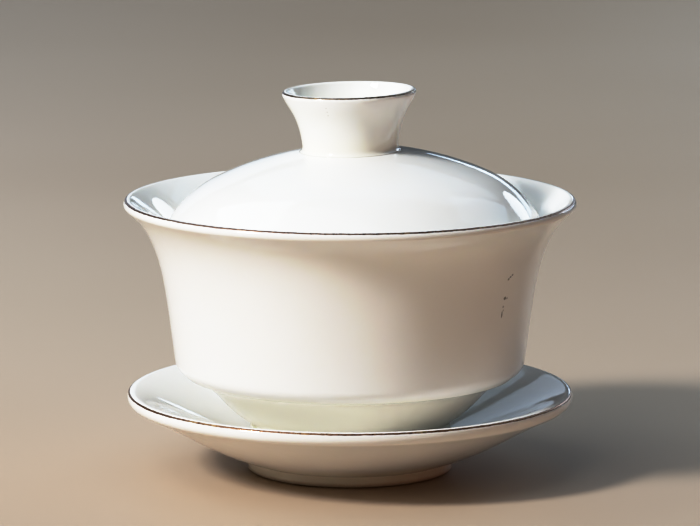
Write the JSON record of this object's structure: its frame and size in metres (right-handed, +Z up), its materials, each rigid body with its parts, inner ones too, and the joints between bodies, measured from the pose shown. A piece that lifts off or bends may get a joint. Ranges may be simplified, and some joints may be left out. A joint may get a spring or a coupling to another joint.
{
  "type": "gaiwan",
  "caption": "Lidded tea bowl on a saucer: flared porcelain bowl with a turned foot, domed lid with a hollow ring knob, and a shallow footed saucer, each lip edged with a thin metal line.",
  "frame": {"origin": "centre of the saucer's foot ring, on the surface that the gaiwan stands on", "axes": "+Z up along the turning axis of the saucer and bowl; +X is the side on which the loose lid sits 1.45 degrees high, as it does when it has been set down askew, and +Y points away from the side it is usually seen from"},
  "size_m": [0.1, 0.1, 0.085],
  "materials": {
    "glazed_porcelain": "glossy clear glaze over a warm white body, with unglazed foot rings",
    "gilt": "polished fired-on gold line, brush-laid"
  },
  "bodies": {
    "saucer": {"saucer_dish": "glazed_porcelain", "saucer_gilt_line": "gilt"},
    "bowl": {"bowl_body": "glazed_porcelain", "bowl_gilt_line": "gilt"},
    "lid": {"lid_dome": "glazed_porcelain", "lid_knob": "glazed_porcelain", "knob_gilt_line": "gilt"}
  },
  "joints": [
    {"name": "bowl_lift", "type": "slide", "parent": "saucer", "child": "bowl", "axis": [0, 0, 1], "range_m": [0, 0.06]},
    {"name": "lid_lift", "type": "slide", "parent": "bowl", "child": "lid", "axis": [0, 0, 1], "range_m": [0, 0.05]}
  ]
}
